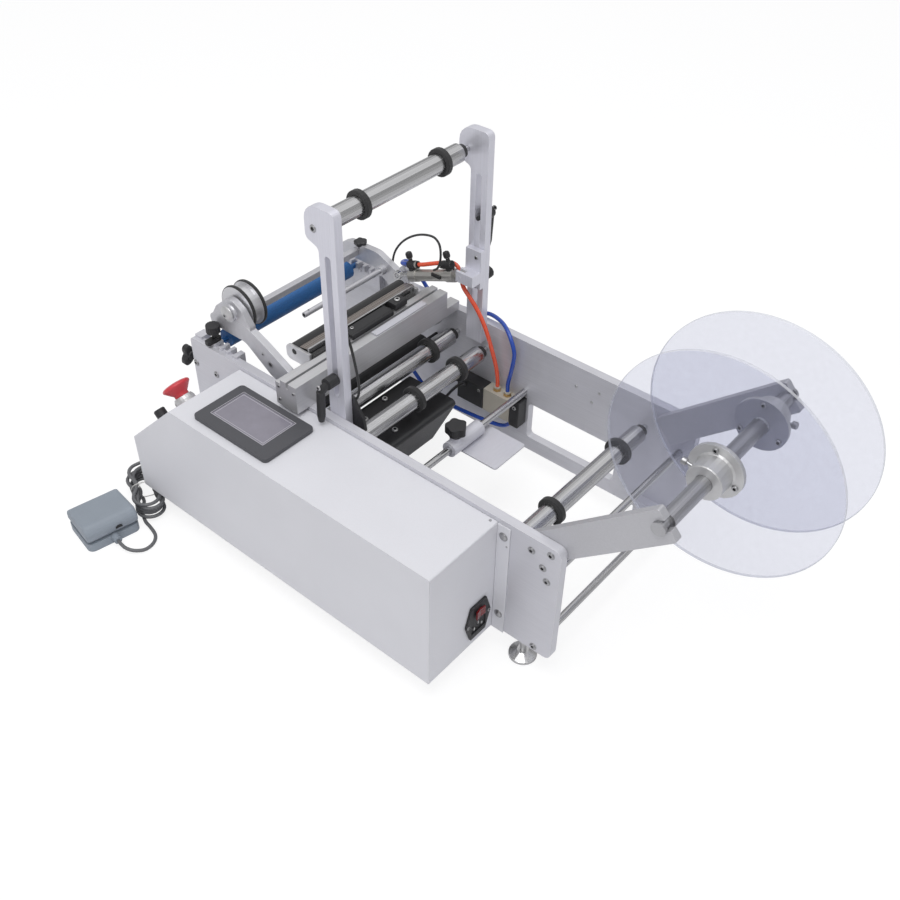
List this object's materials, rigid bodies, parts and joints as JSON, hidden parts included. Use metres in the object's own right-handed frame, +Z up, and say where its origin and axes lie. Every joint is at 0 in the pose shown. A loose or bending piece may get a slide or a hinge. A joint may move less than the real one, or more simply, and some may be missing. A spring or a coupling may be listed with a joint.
{
  "type": "bottle labelling machine",
  "caption": "Semi-automatic bottle labelling machine with guide rollers, a peel unit, a pneumatic press arm, a clear-sided label reel, a control box and a foot pedal.",
  "frame": {"origin": "middle of the machine's footprint on the floor, the free cord left out", "axes": "+Z up; +X towards the label reel; -Y towards the control box"},
  "size_m": [0.9054, 0.5554, 0.505],
  "materials": {
    "air_tube_blue": "blue",
    "air_tube_orange": "translucent orange",
    "air_valve": "ivory",
    "box_cord": "grey sheath",
    "clamp_lever_far": "matt black",
    "clamp_lever_near": "matt black",
    "control_box": "light grey powder coat",
    "cylinder_bracket": "satin machined",
    "cylinder_sensor_lead": "matt black",
    "drive_housing": "matt black",
    "far_side_plate": "satin machined",
    "guide_rod": "polished",
    "label_sensor": "matt black",
    "levelling_foot_far_front": "fine brushed",
    "levelling_foot_far_rear": "fine brushed",
    "levelling_foot_near_front": "fine brushed",
    "levelling_foot_near_rear": "fine brushed",
    "lower_feed_roller": "polished",
    "near_side_plate": "satin machined",
    "pedal_base": "blue-grey, fine texture",
    "pedal_cord": "grey sheath",
    "pedal_cord_hank": "grey sheath",
    "pedal_lid": "blue-grey, fine texture",
    "peel_beam": "satin machined",
    "peel_plate": "fine brushed",
    "piston_rod": "fine brushed",
    "power_inlet": "matt black",
    "press_arm_far": "satin machined",
    "press_arm_near": "satin machined",
    "press_crossbar": "satin machined",
    "press_cylinder": "fine brushed",
    "press_drum": "satin machined",
    "push_button": "matt black",
    "rear_roller": "polished",
    "reel_arm_far": "satin machined",
    "reel_arm_near": "satin machined",
    "reel_disc_far": "clear acrylic",
    "reel_disc_near": "clear acrylic",
    "reel_hub_far": "satin machined",
    "reel_hub_near": "satin machined",
    "reel_shaft": "fine brushed",
    "rocker_switch": "matt black",
    "roller_clamp": "matt black",
    "roller_clamp_knob": "matt black",
    "rubber_roller": "matt black",
    "stop_button": "red, satin gloss",
    "stop_collar": "satin machined",
    "support_roller": "blue, matt",
    "tie_rod_lower": "polished",
    "tie_rod_upper": "polished",
    "top_collar_far": "matt black",
    "top_collar_near": "matt black",
    "top_roller": "polished",
    "touch_panel": "dark grey, satin",
    "traction_roller": "matt black",
    "upper_feed_roller": "polished",
    "upright_far": "satin machined",
    "upright_near": "satin machined",
    "web_guide": "satin machined",
    "web_guide_knob": "matt black"
  },
  "bodies": {
    "frame": {"air_tube_blue": "air_tube_blue", "air_tube_orange": "air_tube_orange", "air_valve": "air_valve", "box_cord": "box_cord", "control_box": "control_box", "cylinder_bracket": "cylinder_bracket", "cylinder_sensor_lead": "cylinder_sensor_lead", "drive_housing": "drive_housing", "far_side_plate": "far_side_plate", "guide_rod": "guide_rod", "label_sensor": "label_sensor", "levelling_foot_far_front": "levelling_foot_far_front", "levelling_foot_far_rear": "levelling_foot_far_rear", "levelling_foot_near_front": "levelling_foot_near_front", "levelling_foot_near_rear": "levelling_foot_near_rear", "near_side_plate": "near_side_plate", "pedal_base": "pedal_base", "pedal_cord": "pedal_cord", "pedal_cord_hank": "pedal_cord_hank", "peel_beam": "peel_beam", "peel_plate": "peel_plate", "power_inlet": "power_inlet", "reel_arm_far": "reel_arm_far", "reel_arm_near": "reel_arm_near", "roller_clamp": "roller_clamp", "stop_collar": "stop_collar", "tie_rod_lower": "tie_rod_lower", "tie_rod_upper": "tie_rod_upper", "touch_panel": "touch_panel", "upright_far": "upright_far", "upright_near": "upright_near"},
    "top_roller": {"top_roller": "top_roller"},
    "top_collar_near": {"top_collar_near": "top_collar_near"},
    "top_collar_far": {"top_collar_far": "top_collar_far"},
    "rear_roller": {"rear_roller": "rear_roller"},
    "upper_feed_roller": {"upper_feed_roller": "upper_feed_roller"},
    "lower_feed_roller": {"lower_feed_roller": "lower_feed_roller"},
    "traction_roller": {"traction_roller": "traction_roller"},
    "rubber_roller": {"rubber_roller": "rubber_roller"},
    "support_roller": {"support_roller": "support_roller"},
    "reel": {"reel_shaft": "reel_shaft", "reel_disc_far": "reel_disc_far", "reel_hub_far": "reel_hub_far"},
    "reel_near_side": {"reel_disc_near": "reel_disc_near", "reel_hub_near": "reel_hub_near"},
    "press": {"press_arm_near": "press_arm_near", "press_arm_far": "press_arm_far", "press_crossbar": "press_crossbar"},
    "press_drum": {"press_drum": "press_drum"},
    "press_cylinder": {"press_cylinder": "press_cylinder"},
    "piston_rod": {"piston_rod": "piston_rod"},
    "web_guide": {"web_guide": "web_guide"},
    "web_guide_knob": {"web_guide_knob": "web_guide_knob"},
    "stop_button": {"stop_button": "stop_button"},
    "push_button": {"push_button": "push_button"},
    "rocker_switch": {"rocker_switch": "rocker_switch"},
    "roller_clamp_knob": {"roller_clamp_knob": "roller_clamp_knob"},
    "clamp_lever_near": {"clamp_lever_near": "clamp_lever_near"},
    "clamp_lever_far": {"clamp_lever_far": "clamp_lever_far"},
    "pedal_lid": {"pedal_lid": "pedal_lid"}
  },
  "joints": [
    {"name": "top_roller_spin", "type": "hinge", "parent": "frame", "child": "top_roller", "pos_m": [-0.16131, 0.11014, 0.4765], "axis": [0, 1, 0], "continuous": true},
    {"name": "top_collar_near_slide", "type": "slide", "parent": "top_roller", "child": "top_collar_near", "axis": [0, 1, 0], "range_m": [-0.036, 0.06]},
    {"name": "top_collar_far_slide", "type": "slide", "parent": "top_roller", "child": "top_collar_far", "axis": [0, 1, 0], "range_m": [-0.06, 0.024]},
    {"name": "rear_roller_spin", "type": "hinge", "parent": "frame", "child": "rear_roller", "pos_m": [0.13919, 0.11014, 0.18], "axis": [0, 1, 0], "continuous": true},
    {"name": "upper_feed_roller_spin", "type": "hinge", "parent": "frame", "child": "upper_feed_roller", "pos_m": [-0.17881, 0.11014, 0.186], "axis": [0, 1, 0], "continuous": true},
    {"name": "lower_feed_roller_spin", "type": "hinge", "parent": "frame", "child": "lower_feed_roller", "pos_m": [-0.12681, 0.11014, 0.179], "axis": [0, 1, 0], "continuous": true},
    {"name": "traction_roller_spin", "type": "hinge", "parent": "frame", "child": "traction_roller", "pos_m": [-0.21881, 0.11014, 0.16], "axis": [0, 1, 0], "continuous": true},
    {"name": "rubber_roller_spin", "type": "hinge", "parent": "frame", "child": "rubber_roller", "pos_m": [-0.24081, 0.09714, 0.259], "axis": [0, 1, 0], "continuous": true},
    {"name": "support_roller_spin", "type": "hinge", "parent": "frame", "child": "support_roller", "pos_m": [-0.37681, 0.11014, 0.2185], "axis": [0, 1, 0], "continuous": true},
    {"name": "reel_spin", "type": "hinge", "parent": "frame", "child": "reel", "pos_m": [0.31069, 0.11014, 0.321], "axis": [0, 1, 0], "continuous": true},
    {"name": "reel_near_side_slide", "type": "slide", "parent": "reel", "child": "reel_near_side", "axis": [0, 1, 0], "range_m": [-0.055, 0.07]},
    {"name": "press_swing", "type": "hinge", "parent": "frame", "child": "press", "pos_m": [-0.21281, 0.11014, 0.204], "axis": [0, -1, 0], "range_deg": [0, 6]},
    {"name": "press_drum_spin", "type": "hinge", "parent": "press", "child": "press_drum", "pos_m": [-0.34381, 0.00714, 0.2805], "axis": [0, 1, 0], "continuous": true},
    {"name": "cylinder_swing", "type": "hinge", "parent": "frame", "child": "press_cylinder", "pos_m": [-0.14841, 0.21914, 0.3058], "axis": [0, -1, 0], "range_deg": [-0.05, 1.49], "deforming": ["air_tube_orange", "air_tube_blue", "cylinder_sensor_lead"]},
    {"name": "piston_rod_slide", "type": "slide", "parent": "press_cylinder", "child": "piston_rod", "axis": [-0.9279, 0, -0.3728], "range_m": [-0.0002, 0.00745]},
    {"name": "web_guide_slide", "type": "slide", "parent": "frame", "child": "web_guide", "axis": [0, 1, 0], "range_m": [-0.095, 0.055]},
    {"name": "web_guide_knob_turn", "type": "hinge", "parent": "web_guide", "child": "web_guide_knob", "pos_m": [-0.05481, 0.09814, 0.138], "axis": [0, 0, 1], "range_deg": [-180, 180]},
    {"name": "stop_button_press", "type": "slide", "parent": "frame", "child": "stop_button", "axis": [0.6996, 0, -0.7145], "range_m": [0, 0.004]},
    {"name": "push_button_press", "type": "slide", "parent": "frame", "child": "push_button", "axis": [0.6996, 0, -0.7145], "range_m": [0, 0.002], "stiffness_N_per_m": 400},
    {"name": "rocker_switch_tilt", "type": "hinge", "parent": "frame", "child": "rocker_switch", "pos_m": [0.12719, -0.07486, 0.092], "axis": [0, 0, -1], "range_deg": [0, 8]},
    {"name": "roller_clamp_knob_turn", "type": "hinge", "parent": "frame", "child": "roller_clamp_knob", "pos_m": [-0.37381, -0.03086, 0.24], "axis": [0, 0, 1], "range_deg": [-180, 180]},
    {"name": "clamp_lever_near_turn", "type": "hinge", "parent": "frame", "child": "clamp_lever_near", "pos_m": [-0.14131, -0.04286, 0.279], "axis": [0, 1, 0], "range_deg": [-60, 25]},
    {"name": "clamp_lever_far_turn", "type": "hinge", "parent": "frame", "child": "clamp_lever_far", "pos_m": [-0.14131, 0.26314, 0.385], "axis": [0, 1, 0], "range_deg": [-60, 60]},
    {"name": "pedal_press", "type": "hinge", "parent": "frame", "child": "pedal_lid", "pos_m": [-0.38625, -0.23944, 0.015], "axis": [0.1908, 0.9816, 0], "range_deg": [-3.5, 0], "stiffness_Nm_per_rad": 12}
  ],
  "couplings": [
    {"joint": "cylinder_swing", "follows": "press_swing", "ratio": 0.24014},
    {"joint": "piston_rod_slide", "follows": "press_swing", "m_per_rad": 0.069247}
  ]
}
